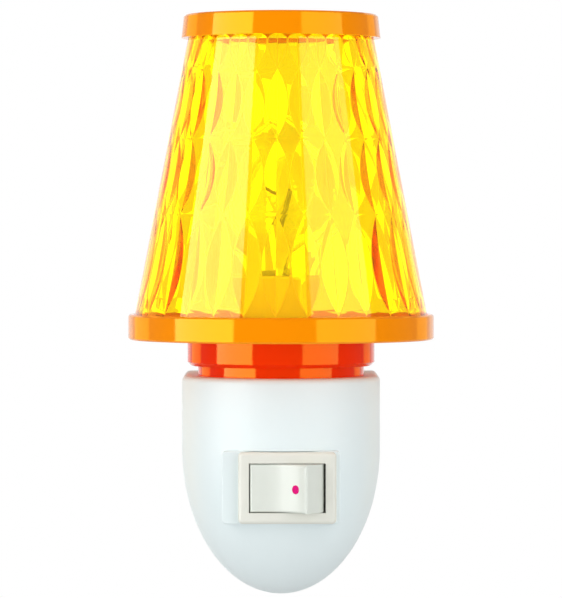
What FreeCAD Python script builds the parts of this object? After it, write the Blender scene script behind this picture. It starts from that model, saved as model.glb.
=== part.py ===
import FreeCAD, Part
import math
import os

# Plug in night light: a round tapered shade stands on a rounded housing that plugs into a
# wall outlet. Millimetres. The wall is the plane y = 0 and the front faces -Y, the origin
# lies midway between the blades on the wall, and +Z is up. The lamp stands on a vertical
# axis in front of the wall.

# Driving dimensions of the housing
axis_reach = 35.0          # lamp axis in front of the wall
body_half_width = 21.7
body_top = 22.9            # height of the flat top over the blades
body_straight_end = 7.0    # height at which the straight sides turn into the round bottom
body_drop = 32.0           # depth of the round bottom below that height
body_wall = 1.8
body_edge = 1.2            # rounded top edge
body_edge_inside = 0.3
shell_gap_to_wall = 12.0   # the front shell ends this far from the wall
cover_plate = 2.2
lip_depth = 3.0
lip_wall = 1.2
boss_width = 27.0          # block round the blades that meets the wall plate
boss_height = 22.0
boss_corner = 3.0
seat_gap = 0.1             # clearance between pieces that are fixed to each other
weld = 0.2                 # forms that are fused run this far into each other
through = 1.0              # cuts run this far past what they cut

# Driving dimensions of the plug
blade_pitch = 12.7
blade_thick = 1.5
live_width = 6.35
neutral_width = 7.94
blade_length = 16.5
blade_hole = 1.55
blade_hole_back = 4.2      # hole from the blade's tip
blade_end_round = 0.26     # corner radius as a share of the blade's width
tail_length = 6.0

# Driving dimensions of the switch
switch_offset = 1.35       # the switch stands this far to the right of the middle
switch_drop = 0.35         # and this far under the height of the blades
pad_set_back = 1.45        # face of the switch pad behind the round front
pad_width = 25.5
pad_height = 15.7
pad_depth = 6.8
pad_corner = 1.0
pad_round = 0.35
pad_backing = 2.0
bezel_width = 21.0
bezel_height = 15.4
bezel_thick = 2.0
bezel_corner = 1.0
bezel_round = 0.9
opening_width = 16.4
opening_height = 10.6
switch_wall = 1.1
switch_depth = 11.4        # back of the bezel to the back of the switch
switch_floor = 1.4
wedge_out = 0.9            # snap wedges that hold the switch behind the shell
wedge_half = 2.0
wedge_length = 3.0
rocker_radius = 8.0        # round foot of the rocker's ends about its pivot
rocker_half_length = 6.4   # pivot to each crest of the dished face, along the rocker
rocker_crest = 5.65        # pivot to the crests, towards the front
rocker_dish = 2.1          # depth of the dished face under its crests
rocker_foot_angle = 12.0   # the round ends stop this far under the level of the pivot
rocker_tilt = 21.0         # each way from level
rocker_pivot_depth = 2.9   # behind the face of the bezel
rocker_skin = 1.2
rocker_round = 0.5
rocker_side_gap = 0.15
pivot_pin = 1.0
pivot_length = 0.75
running_gap = 0.05
plunger_radius = 1.2
plunger_reach = 5.1        # pivot to the tip of the plunger
plunger_seat = 0.8         # top of the spring, from the pivot towards the front
plunger_tail = 1.6         # foot of the spring, from the pivot towards the back
barrel_wall = 0.8
barrel_reach = 3.2
spring_wire = 0.35
lever_depth = 5.15         # pivot to the face of the contact lever
lever_thick = 0.7
lever_length = 9.2
lever_width = 3.2
lever_share = 0.5          # the lever turns this share of the rocker's angle
lever_pivot_radius = 0.45
lever_rib_sunk = 0.2
contact_radius = 1.1
contact_height = 0.4
contact_arm = 3.9
contact_gap = 0.12
tab_width = 4.0
tab_thick = 0.8
tab_length = 7.0
tab_margin = 0.4
notch_cover = 0.3          # share of the rib's radius that the notch covers
fixed_contact = 0.9        # fixed button as a share of the moving one

# Driving dimensions of the collar and the lamp holder
collar_radius = 18.2
collar_height = 2.2
spigot_radius = 15.7
spigot_height = 4.4
spigot_wall = 1.6
collar_neck_radius = 11.8  # part of the collar that drops into the housing
collar_neck_depth = 3.4
collar_neck_wall = 1.4
holder_radius = 7.4
holder_height = 19.8
holder_edge = 0.45
holder_flange = 11.0
holder_flange_thick = 1.8
holder_screw_circle = 9.2
socket_bore = 6.05
socket_wall = 0.4
socket_length = 16.0
washer_thick = 0.5
contact_strip = 0.4
contact_pad_radius = 2.3
strip_width = 3.0
contact_back = 0.8         # tail of the centre contact in front of the lamp axis
socket_lift = 2.4          # foot of the socket's sleeve over the washer
lead_drop = 4.0            # how far the socket's tails reach below the collar

# Driving dimensions of the bulb
bulb_length = 54.0
bulb_radius = 11.0
bulb_neck = 5.45
bulb_shell_radius = 5.85
bulb_shell_length = 13.7
bulb_shell_thick = 0.35
bulb_tip_radius = 2.3
bulb_tip_height = 1.0
bulb_tip_flat = 0.7        # flat end as a share of the solder's radius
bulb_insulator_height = 2.2
bulb_glass_wall = 0.6
bulb_widest = 0.60         # share of the bulb's length at which it is widest
bulb_neck_rise = 3.0       # straight neck above the screw base
bulb_shell_lap = 1.5       # the glass reaches this far down into the screw base
bulb_body_round = 13.0     # profile radius of the body under the widest place
bulb_end_round = 3.0       # profile radius at the very top
bulb_base_corner = 0.8
stem_length = 11.0
stem_radius = 3.1
stem_rim = 0.5
stem_flare = 2.5
stem_bead = 2.0
lead_radius = 0.3
lead_spread = 2.0
lead_length = 9.0
filament_radius = 0.2
filament_peak = 1.5

# Driving dimensions of the shade
neck_radius = 20.5
neck_height = 5.7
neck_wall = 4.4
neck_edge = 0.8
ring_radius = 33.5         # wide ring at the foot of the shade
ring_height = 5.5
ring_rim = 1.3
ring_floor = 1.8
ring_hole = 12.6
ring_edge = 0.35
shade_foot_radius = 32.0
shade_top_radius = 20.35
shade_height = 60.4        # between the two rings
shade_wall = 2.0
shade_sides = 28           # columns of ridges round the inside, with a flat field between each
shade_turn = -2.2          # turn of the columns about the lamp axis, in degrees
ridge_rise = 0.85          # crest of a ridge above the flat fields at its middle
ridge_land = 0.12          # flat land left round every ridge
ridge_sunk = 0.4           # how far a ridge's foot is sunk into the wall
ridge_overrun = 1.06       # the sliver under a ridge is this much longer than its crest
ridge_rows = [0.0, 21.7, 38.0, 52.9, 64.7]   # tips above the wide ring, the last inside the cap
shade_spigot = 3.2         # part of the shade inside the top ring
spigot_step = 0.35         # the spigot is this much smaller than the shade's top
top_ring_foot = 21.8
top_ring_top = 21.3
top_ring_height = 5.0
top_ring_opening = 17.6
top_ring_edge = 0.4
fit_gap = 0.15

# Driving dimensions of the fixings and wires
screw_radius = 1.25
screw_head_radius = 2.5
screw_head_height = 1.6
screw_boss_radius = 3.0
screw_side = 15.2          # upper screws from the middle
screw_up = 15.6            # upper screws over the blades
screw_down = 16.5          # lower screw under the blades
screw_bite = 10.0          # screws reach this far into the posts
screw_hole_end = 2.0       # and the holes this much farther
screw_slot = 0.6
post_reach = 8.0           # the posts start this far in front of the lamp axis
web_half = 0.8
small_screw_radius = 0.875
small_head = 1.9           # head of the small screws as a share of their shank
small_head_height = 1.1
wire_radius = 0.8
wire_bend = 0.45           # share of the shorter run that a bend takes up
wire_on_tail = 0.6         # place of the wire on a blade's tail
wire_lead = 5.0            # straight run of the wires from the blades
wire_sag = 4.0
wire_step = 3.0
wire_height = 11.0         # top of the wires under the lamp holder

# Places worked out from the driving dimensions
axis_y = -axis_reach
shell_back = -shell_gap_to_wall
cover_back = shell_back + cover_plate
pad_y = axis_y - body_half_width + pad_set_back
switch_z = -switch_drop
bezel_y = pad_y - bezel_thick
pivot_y = bezel_y + rocker_pivot_depth
lever_tilt = rocker_tilt * lever_share
lever_pivot_y = pivot_y + lever_depth + lever_thick + lever_pivot_radius - lever_rib_sunk
switch_back = pad_y + switch_depth
collar_top = body_top + collar_height
holder_top = collar_top + holder_height
washer_top = collar_top + washer_thick
strip_top = washer_top + contact_strip
bulb_bottom = strip_top + seat_gap + 0.2
bulb_top = bulb_bottom + bulb_length
neck_top = collar_top + neck_height
ring_top = neck_top + ring_height
shade_base = neck_top + ring_floor
shade_top = ring_top + shade_height
taper = (shade_foot_radius - shade_top_radius) / shade_height
tail_z = body_top - lead_drop

UP = FreeCAD.Vector(0, 0, 1)
LAMP_AXIS = FreeCAD.Vector(0, axis_y, 0)
PIVOT = FreeCAD.Vector(switch_offset, pivot_y, 0)
LEVER_PIVOT = FreeCAD.Vector(switch_offset, lever_pivot_y, 0)


def vec(x, y, z):
    return FreeCAD.Vector(x, y, z)


def box(low, high):
    """A block between two corners."""
    return Part.makeBox(high[0] - low[0], high[1] - low[1], high[2] - low[2], vec(*low))


def lines(points):
    """A closed flat outline through the points."""
    closed = [vec(*point) for point in points]
    return Part.makePolygon(closed + closed[:1])


def rod(radius, start, end):
    """A round bar from one point to another."""
    run = vec(*end) - vec(*start)
    return Part.makeCylinder(radius, run.Length, vec(*start), run)


def turned(profile):
    """A solid turned about the lamp axis from (radius, height) points."""
    outline = lines([(radius, axis_y, height) for radius, height in profile])
    return Part.Face(outline).revolve(LAMP_AXIS, UP, 360)


def rounded_block(width, height, corner, x, low_y, high_y):
    """A block with round upright corners, seen from the front, centred on height 0."""
    block = box((x - width / 2, low_y, -height / 2), (x + width / 2, high_y, height / 2))
    corners = [edge for edge in block.Edges if abs(edge.tangentAt(edge.FirstParameter).y) > 0.99]
    return block.makeFillet(corner, corners)


def front_edges(shape, y):
    """The edges that lie wholly in the plane at y."""
    return [edge for edge in shape.Edges
            if abs(edge.BoundBox.YMin - y) < 1e-4 and abs(edge.BoundBox.YMax - y) < 1e-4]


def lowered(shape):
    """The shape moved from the height of the blades to the height of the switch."""
    return shape.translated(vec(0, 0, switch_z))


def turn(shape, centre, degrees):
    """The shape turned about an upright axis through the centre."""
    moved = shape.copy()
    moved.rotate(centre, UP, degrees)
    return moved


def body_half_outline(inset):
    """Right half of the housing's front outline: flat top, straight side, quarter ellipse."""
    half = body_half_width - inset
    top = body_top - inset
    low = body_straight_end - body_drop + inset
    edge = max(body_edge - inset, body_edge_inside)
    nick = edge * (1 - math.sqrt(0.5))
    quarter = Part.Ellipse(vec(0, axis_y, low), vec(half, axis_y, body_straight_end),
                           vec(0, axis_y, body_straight_end))
    corner = Part.Arc(vec(half, axis_y, top - edge), vec(half - nick, axis_y, top - nick),
                      vec(half - edge, axis_y, top))
    return [
        Part.Arc(quarter, 0, math.pi / 2).toShape(),
        Part.makeLine(vec(half, axis_y, body_straight_end), vec(half, axis_y, top - edge)),
        corner.toShape(),
        Part.makeLine(vec(half - edge, axis_y, top), vec(0, axis_y, top)),
    ]


def body_solid(inset, back):
    """The housing's round front turned about the lamp axis, and its straight sides behind."""
    right = body_half_outline(inset)
    half = body_half_width - inset
    low = body_straight_end - body_drop + inset
    middle = Part.makeLine(vec(0, axis_y, body_top - inset), vec(0, axis_y, low))
    front = Part.Face(Part.Wire(Part.__sortEdges__(right + [middle]))).revolve(LAMP_AXIS, UP, 360)
    left = [edge.mirror(LAMP_AXIS, vec(1, 0, 0)) for edge in right]
    outline = Part.Wire(Part.__sortEdges__(right + left))
    straight = Part.Face(outline).extrude(vec(0, back - axis_y, 0))
    return front.fuse(straight).removeSplitter()


def screw_places():
    """The three cover screws: two beside the plug block and one below it."""
    return [(-screw_side, screw_up), (screw_side, screw_up), (0, -screw_down)]


def front_shell():
    """Open-backed moulding with a flat pad and window for the switch and posts for screws."""
    pad = rounded_block(pad_width, pad_height, pad_corner, 0, pad_y, pad_y + pad_depth)
    pad = lowered(pad.makeFillet(pad_round, front_edges(pad, pad_y)))
    recess = lowered(rounded_block(pad_width, pad_height, pad_corner, 0,
                                   axis_y - 2 * body_half_width, pad_y))
    shell = body_solid(0, shell_back).cut(recess).fuse(pad)
    backing = lowered(box(
        (-pad_width / 2 - pad_corner, axis_y - 2 * body_half_width, -pad_height / 2 - pad_corner),
        (pad_width / 2 + pad_corner, pad_y + pad_backing, pad_height / 2 + pad_corner)))
    hollow = body_solid(body_wall, shell_back + through).cut(backing)
    shell = shell.cut(hollow)
    inside = body_solid(body_wall - weld, shell_back)
    front = axis_y - post_reach
    web_end = shell_back - lip_depth - through
    for x, z in screw_places():
        post = rod(screw_boss_radius, (x, front, z), (x, shell_back - seat_gap, z))
        side = math.copysign(body_half_width, x) if x else 0
        if x:
            web = box((min(x, side), front, z - web_half), (max(x, side), web_end, z + web_half))
        else:
            web = box((-web_half, front, body_straight_end - body_drop), (web_half, web_end, z))
        post = post.fuse(web).common(inside)
        shell = shell.fuse(post)
    for x, z in screw_places():
        shell = shell.cut(rod(screw_radius + running_gap,
                              (x, shell_back - screw_bite - screw_hole_end, z), (x, 0, z)))
    window = box((switch_offset - switch_box_width() / 2 - fit_gap, axis_y - 2 * body_half_width,
                  -switch_box_height() / 2 - fit_gap),
                 (switch_offset + switch_box_width() / 2 + fit_gap, pad_y + 2 * pad_depth,
                  switch_box_height() / 2 + fit_gap))
    shell = shell.cut(lowered(window))
    top_hole = Part.makeCylinder(collar_neck_radius + fit_gap, 2 * collar_neck_depth,
                                 vec(0, axis_y, body_top - collar_neck_depth), UP)
    return shell.cut(top_hole).removeSplitter()


def rear_cover():
    """Back plate of the same outline with a lip inside the shell and the block for the blades."""
    beyond = body_half_width + body_drop
    slab = box((-beyond, shell_back, -beyond), (beyond, cover_back, beyond))
    plate = body_solid(0, cover_back).common(slab)
    lip_band = box((-beyond, shell_back - lip_depth, -beyond), (beyond, shell_back + weld, beyond))
    lip = body_solid(body_wall + fit_gap, shell_back + through).cut(
        body_solid(body_wall + fit_gap + lip_wall, shell_back + 2 * through)).common(lip_band)
    block = rounded_block(boss_width, boss_height, boss_corner, 0, cover_back - weld, 0)
    cover = plate.fuse(lip).fuse(block)
    for x, z in screw_places():
        cover = cover.cut(rod(screw_boss_radius + 2 * fit_gap, (x, shell_back - lip_depth - through, z),
                              (x, shell_back, z)))
        cover = cover.cut(rod(screw_radius + running_gap, (x, shell_back - through, z), (x, through, z)))
    for side, width in ((-1, live_width), (1, neutral_width)):
        x = side * blade_pitch / 2
        cover = cover.cut(box((x - blade_thick / 2, shell_back - through, -width / 2),
                              (x + blade_thick / 2, through, width / 2)))
    return cover.removeSplitter()


def blade(side, width):
    """Flat brass blade with a round end and hole, bent over behind the cover as a tail."""
    x = side * blade_pitch / 2
    flat = box((x - blade_thick / 2, shell_back - blade_thick, -width / 2),
               (x + blade_thick / 2, blade_length, width / 2))
    ends = [edge for edge in flat.Edges
            if abs(edge.BoundBox.YMin - blade_length) < 1e-4 and edge.BoundBox.XLength > blade_thick / 2]
    flat = flat.makeFillet(width * blade_end_round, ends)
    outer = x + side * tail_length
    tail = box((min(x, outer), shell_back - blade_thick, -live_width / 2),
               (max(x, outer), shell_back, live_width / 2))
    hole_y = blade_length - blade_hole_back
    hole = rod(blade_hole, (x - blade_thick, hole_y, 0), (x + blade_thick, hole_y, 0))
    return flat.fuse(tail).cut(hole).removeSplitter()


def inner_radius(height):
    """Radius of the shell's inside about the lamp axis at a height below the straight sides."""
    drop = (body_straight_end - height) / (body_drop - body_wall)
    return (body_half_width - body_wall) * math.sqrt(1 - drop ** 2)


def switch_box_width():
    return opening_width + 2 * switch_wall


def switch_box_height():
    return opening_height + 2 * switch_wall


def switch_body():
    """Ivory rocker switch case: bezel with a rounded edge and a deep box with snap wedges."""
    bezel = rounded_block(bezel_width, bezel_height, bezel_corner, switch_offset, bezel_y, pad_y)
    bezel = bezel.makeFillet(bezel_round, front_edges(bezel, bezel_y))
    half_box = switch_box_width() / 2
    case = box((switch_offset - half_box, pad_y - weld, -switch_box_height() / 2),
               (switch_offset + half_box, switch_back, switch_box_height() / 2))
    case = bezel.fuse(case)
    reach = half_box + abs(switch_offset) + wedge_out
    shell_inside = inner_radius(switch_z - wedge_half)
    wedge_y = axis_y - math.sqrt(shell_inside ** 2 - reach ** 2) + fit_gap
    for side in (-1, 1):
        face = switch_offset + side * half_box
        wedge = lines([(face, wedge_y, -wedge_half), (face + side * wedge_out, wedge_y, -wedge_half),
                       (face, wedge_y + wedge_length, -wedge_half)])
        case = case.fuse(Part.Face(wedge).extrude(vec(0, 0, 2 * wedge_half)))
    well = box((switch_offset - opening_width / 2, bezel_y - through, -opening_height / 2),
               (switch_offset + opening_width / 2, switch_back - switch_floor, opening_height / 2))
    case = case.cut(well)
    case = case.cut(rod(pivot_pin + running_gap,
                        (switch_offset, pivot_y, -opening_height / 2 - pivot_length + seat_gap),
                        (switch_offset, pivot_y, opening_height / 2 + pivot_length - seat_gap)))
    for x in (common_x(), load_x()):
        case = case.cut(box((x - tab_thick / 2 - running_gap, switch_back - switch_floor - through,
                             -tab_width / 2 - running_gap),
                            (x + tab_thick / 2 + running_gap, switch_back + through,
                             tab_width / 2 + running_gap)))
    return lowered(case.removeSplitter())


def common_x():
    return switch_offset


def load_x():
    return switch_offset - contact_arm - contact_radius - tab_margin


def on_switch(side, front):
    """A point given from the rocker's pivot: to the right, and towards the front."""
    return (switch_offset + side, pivot_y - front)


def rocker_profile(foot_angle, z):
    """Dished face between two crests, a straight fall from each, and round feet to a flat base."""
    crest_radius = math.hypot(rocker_half_length, rocker_crest)
    crest_angle = math.atan2(rocker_crest, rocker_half_length)
    fall_angle = crest_angle - math.acos(rocker_radius / crest_radius)
    foot = -math.radians(foot_angle)

    def at(radius, angle, side):
        x, y = on_switch(side * radius * math.cos(angle), radius * math.sin(angle))
        return vec(x, y, z)

    dish = vec(*on_switch(0, rocker_crest - rocker_dish), z)
    left, right = (at(crest_radius, crest_angle, side) for side in (-1, 1))
    edges = [Part.Arc(left, dish, right).toShape()]
    for side, crest in ((1, right), (-1, left)):
        start = at(rocker_radius, fall_angle, side)
        middle = at(rocker_radius, (fall_angle + foot) / 2, side)
        edges.append(Part.makeLine(crest, start))
        edges.append(Part.Arc(start, middle, at(rocker_radius, foot, side)).toShape())
    edges.append(Part.makeLine(at(rocker_radius, foot, 1), at(rocker_radius, foot, -1)))
    return Part.Face(Part.Wire(Part.__sortEdges__(edges)))


def rocker():
    """Rocker with a dished face, hollow below, with a barrel for the plunger and two pins."""
    half = opening_height / 2 - rocker_side_gap
    solid = rocker_profile(rocker_foot_angle, -half).extrude(vec(0, 0, 2 * half))
    face_y = pivot_y - rocker_crest + rocker_dish
    face_edges = [edge for edge in solid.Edges
                  if edge.BoundBox.YMax < face_y + rocker_side_gap and edge.Length > rocker_half_length]
    solid = solid.makeFillet(rocker_round, face_edges)
    inner = half - rocker_skin
    hollow = rocker_profile(2 * rocker_foot_angle, -inner).makeOffset2D(-rocker_skin)
    hollow = hollow.extrude(vec(0, 0, 2 * inner))
    barrel = rod(plunger_radius + running_gap + barrel_wall,
                 (*on_switch(0, rocker_crest - rocker_dish - rocker_skin / 2), 0),
                 (*on_switch(0, -barrel_reach), 0))
    bore = rod(plunger_radius + running_gap, (*on_switch(0, plunger_seat), 0),
               (*on_switch(0, -barrel_reach - through), 0))
    solid = solid.cut(hollow).fuse(barrel).cut(bore)
    for side in (-1, 1):
        solid = solid.fuse(rod(pivot_pin, (*on_switch(0, 0), side * (half - rocker_skin / 2)),
                               (*on_switch(0, 0), side * (half + pivot_length))))
    solid = solid.removeSplitter()
    return lowered(turn(solid, PIVOT, -rocker_tilt))


def plunger():
    """Round-nosed pin in the rocker's barrel that rides on the contact lever."""
    centre = plunger_reach - plunger_radius
    pin = rod(plunger_radius, (*on_switch(0, -plunger_tail), 0), (*on_switch(0, -centre), 0))
    nose = Part.makeSphere(plunger_radius, vec(*on_switch(0, -centre), 0))
    return lowered(turn(pin.fuse(nose).removeSplitter(), PIVOT, -rocker_tilt))


def plunger_spring():
    """Spring between the rocker and the plunger, as the sleeve that its turns fill."""
    radius = plunger_radius - running_gap
    sleeve = rod(radius, (*on_switch(0, plunger_seat), 0), (*on_switch(0, -plunger_tail), 0))
    core = rod(radius - spring_wire, (*on_switch(0, plunger_seat + through), 0),
               (*on_switch(0, -plunger_tail - through), 0))
    return lowered(turn(sleeve.cut(core), PIVOT, -rocker_tilt))


def contact_lever():
    """Rocking brass strip with a round rib to turn on and a contact button at one end."""
    top = pivot_y + lever_depth
    low = top + lever_thick
    strip = box((switch_offset - lever_length / 2, top, -lever_width / 2),
                (switch_offset + lever_length / 2, low, lever_width / 2))
    rib = rod(lever_pivot_radius, (switch_offset, lever_pivot_y, -lever_width / 2),
              (switch_offset, lever_pivot_y, lever_width / 2))
    x = switch_offset - contact_arm
    button = rod(contact_radius, (x, low - seat_gap, 0), (x, low + contact_height, 0))
    lever = strip.fuse(rib).fuse(button).removeSplitter()
    return lowered(turn(lever, LEVER_PIVOT, lever_tilt))


def common_terminal():
    """Upright tab with a notched end that cradles the lever's rib."""
    top = lever_pivot_y + lever_pivot_radius * notch_cover
    tab = box((common_x() - tab_thick, top, -tab_width / 2),
              (common_x() + tab_thick, switch_back - switch_floor - tab_margin, tab_width / 2))
    leg = box((common_x() - tab_thick / 2, top, -tab_width / 2),
              (common_x() + tab_thick / 2, switch_back + tab_length, tab_width / 2))
    groove = rod(lever_pivot_radius + seat_gap, (switch_offset, lever_pivot_y, -tab_width),
                 (switch_offset, lever_pivot_y, tab_width))
    return lowered(tab.fuse(leg).cut(groove).removeSplitter())


def load_terminal():
    """Bent tab that carries the fixed contact button under the lever's end."""
    arm = math.radians(lever_tilt)
    below = lever_thick + contact_height - (lever_pivot_y - pivot_y - lever_depth)
    meet = lever_pivot_y + contact_arm * math.sin(arm) + below * math.cos(arm) + contact_gap
    shelf_y = meet + contact_height + fit_gap
    x = switch_offset - contact_arm
    button = rod(contact_radius * fixed_contact, (x, meet + seat_gap, 0), (x, shelf_y + seat_gap, 0))
    shelf = box((load_x() - tab_thick / 2, shelf_y, -tab_width / 2),
                (x + contact_radius, shelf_y + tab_thick, tab_width / 2))
    leg = box((load_x() - tab_thick / 2, shelf_y, -tab_width / 2),
              (load_x() + tab_thick / 2, switch_back + tab_length, tab_width / 2))
    return lowered(button.fuse(shelf).fuse(leg).removeSplitter())


def socket_collar():
    """Orange collar on the housing: a deck, a neck into the housing and a spigot for the shade."""
    inner_neck = collar_neck_radius - collar_neck_wall
    collar = turned([
        (spigot_radius - spigot_wall, collar_top),
        (spigot_radius - spigot_wall, collar_top + spigot_height),
        (spigot_radius, collar_top + spigot_height), (spigot_radius, collar_top),
        (collar_radius, collar_top), (collar_radius, body_top), (collar_neck_radius, body_top),
        (collar_neck_radius, body_top - collar_neck_depth), (inner_neck, body_top - collar_neck_depth),
        (inner_neck, body_top), (contact_pad_radius, body_top), (contact_pad_radius, collar_top),
    ])
    tail_slot = box((-strip_width / 2 - fit_gap, axis_y + contact_pad_radius - through, body_top - through),
                    (strip_width / 2 + fit_gap, axis_y + socket_bore + socket_wall + fit_gap,
                     collar_top + through))
    collar = collar.cut(tail_slot)
    for x in (-holder_screw_circle, holder_screw_circle):
        collar = collar.cut(rod(screw_hole(), (x, axis_y, body_top - through),
                                (x, axis_y, collar_top + through)))
    return collar.removeSplitter()


def screw_hole():
    return small_screw_radius + running_gap


def lamp_holder():
    """Orange tube round the socket with a flange that is screwed to the collar."""
    bore = socket_bore + socket_wall + running_gap
    holder = turned([
        (bore, collar_top), (holder_flange, collar_top), (holder_flange, collar_top + holder_flange_thick),
        (holder_radius, collar_top + holder_flange_thick), (holder_radius, holder_top - holder_edge),
        (holder_radius - holder_edge, holder_top), (bore, holder_top),
    ])
    for x in (-holder_screw_circle, holder_screw_circle):
        holder = holder.cut(rod(screw_hole(), (x, axis_y, collar_top - through),
                                (x, axis_y, collar_top + holder_flange_thick + through)))
    return holder.removeSplitter()


def holder_screws():
    """Two small screws that hold the lamp holder on the collar."""
    screws = []
    seat = collar_top + holder_flange_thick
    for x in (-holder_screw_circle, holder_screw_circle):
        shank = rod(small_screw_radius, (x, axis_y, body_top - screw_slot), (x, axis_y, seat + seat_gap))
        head = rod(small_screw_radius * small_head, (x, axis_y, seat),
                   (x, axis_y, seat + small_head_height))
        screws.append(shank.fuse(head).removeSplitter())
    return Part.makeCompound(screws)


def socket_washer():
    """Fibre washer under the socket, slotted for the centre contact's tail."""
    radius = socket_bore - running_gap
    washer = Part.makeCylinder(radius, washer_thick, vec(0, axis_y, collar_top), UP)
    strip_y = axis_y - contact_back
    half_slot = strip_width / 2 + fit_gap
    slot = box((-half_slot, strip_y - contact_strip, collar_top - through),
               (half_slot, strip_y + 2 * contact_strip, washer_top + through))
    tail = box((-half_slot, axis_y + socket_bore - socket_wall, collar_top - through),
               (half_slot, axis_y + holder_radius, washer_top + through))
    return washer.cut(slot).cut(tail).removeSplitter()


def socket_contact():
    """Brass spring strip under the bulb's tip, with a tail down through the collar."""
    pad = Part.makeCylinder(contact_pad_radius, contact_strip, vec(0, axis_y, washer_top), UP)
    front = axis_y - contact_back
    tail = box((-strip_width / 2, front, tail_z), (strip_width / 2, front + contact_strip, strip_top))
    return pad.fuse(tail).removeSplitter()


def socket_shell():
    """Brass sleeve that takes the bulb's base, with a tail down through the collar."""
    low = washer_top + socket_lift
    outer = socket_bore + socket_wall
    sleeve = Part.makeCylinder(outer, socket_length, vec(0, axis_y, low), UP)
    sleeve = sleeve.cut(Part.makeCylinder(socket_bore, socket_length + 2, vec(0, axis_y, low - 1), UP))
    ring = Part.makeCylinder(outer, lead_drop + low, vec(0, axis_y, tail_z), UP).cut(
        Part.makeCylinder(socket_bore, lead_drop + low + 2, vec(0, axis_y, tail_z - 1), UP))
    tail = ring.common(box((-strip_width / 2, axis_y, tail_z),
                           (strip_width / 2, axis_y + outer + through, low + weld)))
    return sleeve.fuse(tail).removeSplitter()


def glass_body(inset):
    """The solid inside one skin of the glass: neck, S-shaped shoulder, body and blunt point.
    Every arc keeps its centre, so that the wall is even."""
    foot = bulb_bottom + bulb_tip_height + bulb_insulator_height + bulb_shell_length - bulb_shell_lap
    neck_end = foot + bulb_neck_rise
    widest = bulb_bottom + bulb_length * bulb_widest
    spread = bulb_radius - bulb_neck
    half_turn = math.atan2(spread, widest - neck_end)
    shoulder_round = (widest - neck_end) / math.sin(2 * half_turn) - bulb_body_round
    rise = bulb_top - bulb_end_round - widest
    cap_round = ((bulb_radius ** 2 + rise ** 2 - bulb_end_round ** 2)
                 / (2 * (bulb_radius - bulb_end_round)))
    cap_turn = math.atan2(rise, cap_round - bulb_radius)

    def at(centre_radius, centre_height, radius, angle):
        return vec(centre_radius + radius * math.cos(angle), axis_y,
                   centre_height + radius * math.sin(angle))

    def arc(centre_radius, centre_height, radius, start, end):
        points = [at(centre_radius, centre_height, radius, angle)
                  for angle in (start, (start + end) / 2, end)]
        return Part.Arc(*points).toShape()

    bottom = vec(bulb_neck - inset, axis_y, foot)
    tip = vec(0, axis_y, bulb_top - inset)
    edges = [
        Part.makeLine(vec(0, axis_y, foot), bottom),
        Part.makeLine(bottom, vec(bulb_neck - inset, axis_y, neck_end)),
        arc(bulb_neck + shoulder_round, neck_end, shoulder_round + inset, math.pi,
            math.pi - 2 * half_turn),
        arc(bulb_radius - bulb_body_round, widest, bulb_body_round - inset, -2 * half_turn, 0),
        arc(bulb_radius - cap_round, widest, cap_round - inset, 0, cap_turn),
        arc(0, bulb_top - bulb_end_round, bulb_end_round - inset, cap_turn, math.pi / 2),
        Part.makeLine(tip, vec(0, axis_y, foot)),
    ]
    return Part.Face(Part.Wire(Part.__sortEdges__(edges))).revolve(LAMP_AXIS, UP, 360)


def bulb_glass():
    """Blown glass envelope with an even wall, open at the neck."""
    return glass_body(0).cut(glass_body(bulb_glass_wall))


def bulb_shell():
    """Thin screw base of the bulb, drawn as a plain sleeve with an inturned foot."""
    low = bulb_bottom + bulb_tip_height + bulb_insulator_height
    inner = bulb_shell_radius - bulb_shell_thick
    return turned([
        (inner, low + bulb_shell_thick), (inner, low + bulb_shell_length),
        (bulb_shell_radius, low + bulb_shell_length), (bulb_shell_radius, low + bulb_base_corner),
        (bulb_shell_radius - bulb_base_corner, low), (bulb_tip_radius + bulb_tip_height, low),
        (bulb_tip_radius + bulb_tip_height, low + bulb_shell_thick),
    ])


def bulb_insulator():
    """Black glass ring between the base and the tip contact."""
    low = bulb_bottom + bulb_tip_height
    high = low + bulb_insulator_height
    return turned([
        (0, low), (bulb_tip_radius + seat_gap, low),
        (bulb_shell_radius - bulb_base_corner - seat_gap, high),
        (0, high),
    ])


def bulb_tip():
    """Solder button at the bottom of the bulb."""
    dome = bulb_tip_radius
    low = bulb_bottom
    high = bulb_bottom + bulb_tip_height
    return turned([(0, low), (dome * bulb_tip_flat, low + fit_gap), (dome, high), (0, high)])


def stem_foot():
    return bulb_bottom + bulb_tip_height + bulb_insulator_height


def bulb_stem():
    """Glass mount inside the bulb, flared at the foot and pinched at the top."""
    low = stem_foot()
    high = low + bulb_shell_length + stem_length
    neck = low + bulb_shell_length
    foot = bulb_neck - bulb_glass_wall - 2 * seat_gap
    pinch = stem_radius / 2
    return turned([(0, low), (foot, low + stem_rim), (foot, neck - stem_flare), (stem_radius, neck),
                   (pinch, high - stem_bead), (pinch - 2 * seat_gap, high), (0, high)])


def bulb_leads():
    """Two nickel wires that stand up from the stem."""
    low = stem_foot() + bulb_shell_length + stem_length
    leads = []
    for side in (-1, 1):
        foot = (side * stem_radius / 4, axis_y, low + running_gap)
        top = (side * lead_spread, axis_y, low + lead_length)
        leads.append(rod(lead_radius, foot, top))
    return Part.makeCompound(leads)


def filament():
    """Fine wire between the two leads, drawn as a bent line through a low point."""
    top = stem_foot() + bulb_shell_length + stem_length + lead_length
    middle = (0, axis_y, top + filament_peak)
    left = rod(filament_radius, (-lead_spread, axis_y, top), middle)
    right = rod(filament_radius, (lead_spread, axis_y, top), middle)
    knee = Part.makeSphere(filament_radius, vec(*middle))
    return left.fuse(right).fuse(knee).cut(bulb_leads()).removeSplitter()


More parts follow.
